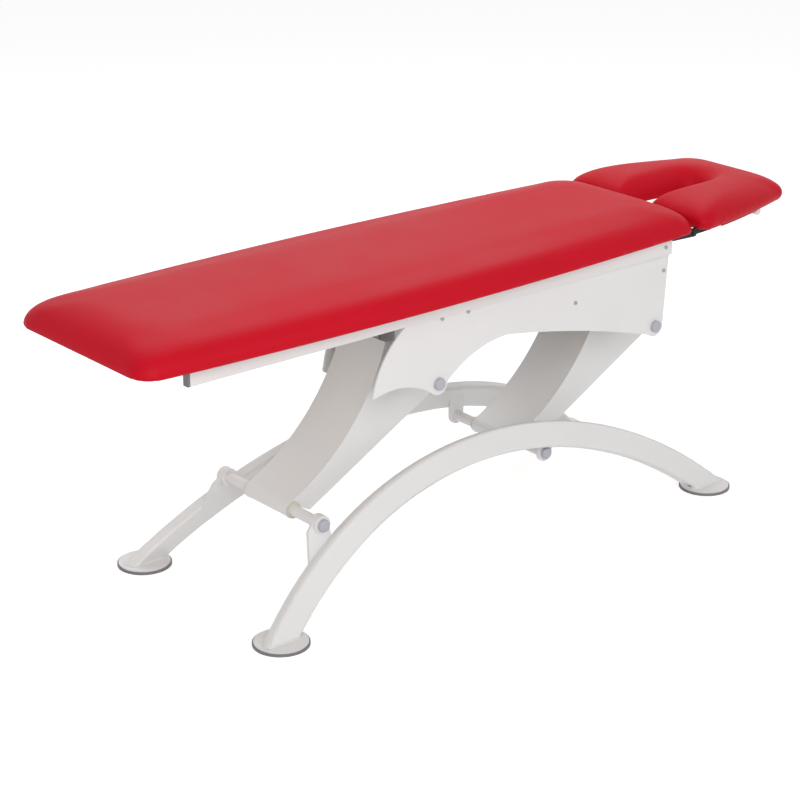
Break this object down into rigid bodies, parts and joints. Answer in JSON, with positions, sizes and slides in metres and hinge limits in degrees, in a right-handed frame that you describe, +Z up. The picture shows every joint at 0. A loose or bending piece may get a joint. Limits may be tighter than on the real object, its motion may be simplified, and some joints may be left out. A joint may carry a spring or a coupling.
{
  "type": "treatment table",
  "caption": "Height-adjustable treatment table with a long red cushion, a tilting head cushion with a face slot, curved parallel lift arms and a leaning arched base",
  "frame": {"origin": "on the floor under the middle of the table, at the pictured height", "axes": "+X to the head end, +Y to the left side as seen from the foot end, +Z up"},
  "size_m": [1.962, 0.638, 0.714],
  "materials": {
    "white_paint": "satin powder coat",
    "red_vinyl": "soft satin upholstery vinyl",
    "grey_plastic": "matte moulded",
    "grey_rubber": "matte",
    "dark_plastic": "matte moulded",
    "black_steel": "black powder coat",
    "steel": "dull zinc",
    "aluminium": "plain drawn",
    "plywood": "bare plywood",
    "bush_plastic": "moulded bearing plastic"
  },
  "bodies": {
    "base": {"base_arch_left": "white_paint", "base_arch_right": "white_paint", "foot_disc_foot_end_left": "white_paint", "foot_disc_foot_end_right": "white_paint", "foot_disc_head_end_left": "white_paint", "foot_disc_head_end_right": "white_paint", "foot_rubbers": "grey_rubber", "front_pivot_ear_left": "white_paint", "front_pivot_ear_right": "white_paint", "lower_front_shaft": "white_paint", "lower_rear_shaft": "white_paint", "lower_shaft_caps": "grey_plastic", "rear_pivot_ear_left": "white_paint", "rear_pivot_ear_right": "white_paint"},
    "front_arm": {"front_arm_bushes": "bush_plastic", "front_arm_channel": "white_paint", "front_arm_lower_hub": "white_paint", "front_arm_upper_hub": "white_paint", "lift_crank": "steel"},
    "rear_arm": {"rear_arm_bushes": "bush_plastic", "rear_arm_channel": "white_paint", "rear_arm_lower_hub": "white_paint", "rear_arm_upper_hub": "white_paint"},
    "actuator_rod": {"drive_rod": "steel", "rod_end": "steel", "crank_pin": "steel"},
    "head_section": {"head_board": "plywood", "head_pad": "red_vinyl", "head_hinge_bars": "black_steel", "head_cross_tube": "white_paint"},
    "top_frame": {"control_box": "dark_plastic", "cross_tube_foot": "white_paint", "cross_tube_head": "white_paint", "cross_tube_middle": "white_paint", "drive_clevis": "aluminium", "drive_tie_bar": "white_paint", "drive_tube": "aluminium", "foot_tie_plate": "white_paint", "gearbox": "aluminium", "head_hinge_pins": "black_steel", "head_tie_plate": "white_paint", "lift_motor": "dark_plastic", "main_board": "plywood", "main_hinge_bars": "black_steel", "main_pad": "red_vinyl", "panel_screws": "steel", "pivot_cheeks": "white_paint", "power_inlet": "dark_plastic", "rail_end_plugs": "dark_plastic", "rail_head_plates": "white_paint", "rail_left": "white_paint", "rail_right": "white_paint", "side_panel_left": "white_paint", "side_panel_right": "white_paint", "upper_front_shaft": "white_paint", "upper_rear_shaft": "white_paint", "upper_shaft_caps": "grey_plastic"}
  },
  "joints": [
    {"name": "lift", "type": "hinge", "parent": "base", "child": "front_arm", "pos_m": [-0.50227, 0, 0.197], "axis": [0, -1, 0], "range_deg": [-23, 32]},
    {"name": "rear_arm_swing", "type": "hinge", "parent": "base", "child": "rear_arm", "pos_m": [0.17462, 0, 0.179], "axis": [0, -1, 0], "range_deg": [-23, 32]},
    {"name": "top_level", "type": "hinge", "parent": "front_arm", "child": "top_frame", "pos_m": [-0.19424, 0, 0.453], "axis": [0, -1, 0], "range_deg": [-32, 23]},
    {"name": "rod_slide", "type": "slide", "parent": "top_frame", "child": "actuator_rod", "axis": [-1, 0, 0], "range_m": [-0.043, 0.06]},
    {"name": "head_tilt", "type": "hinge", "parent": "top_frame", "child": "head_section", "pos_m": [0.60145, 0, 0.64], "axis": [0, -1, 0], "range_deg": [-60, 15]}
  ],
  "couplings": [
    {"joint": "rear_arm_swing", "follows": "lift", "ratio": 1},
    {"joint": "top_level", "follows": "lift", "ratio": -1},
    {"joint": "rod_slide", "follows": "lift", "m_per_rad": 0.1035}
  ]
}
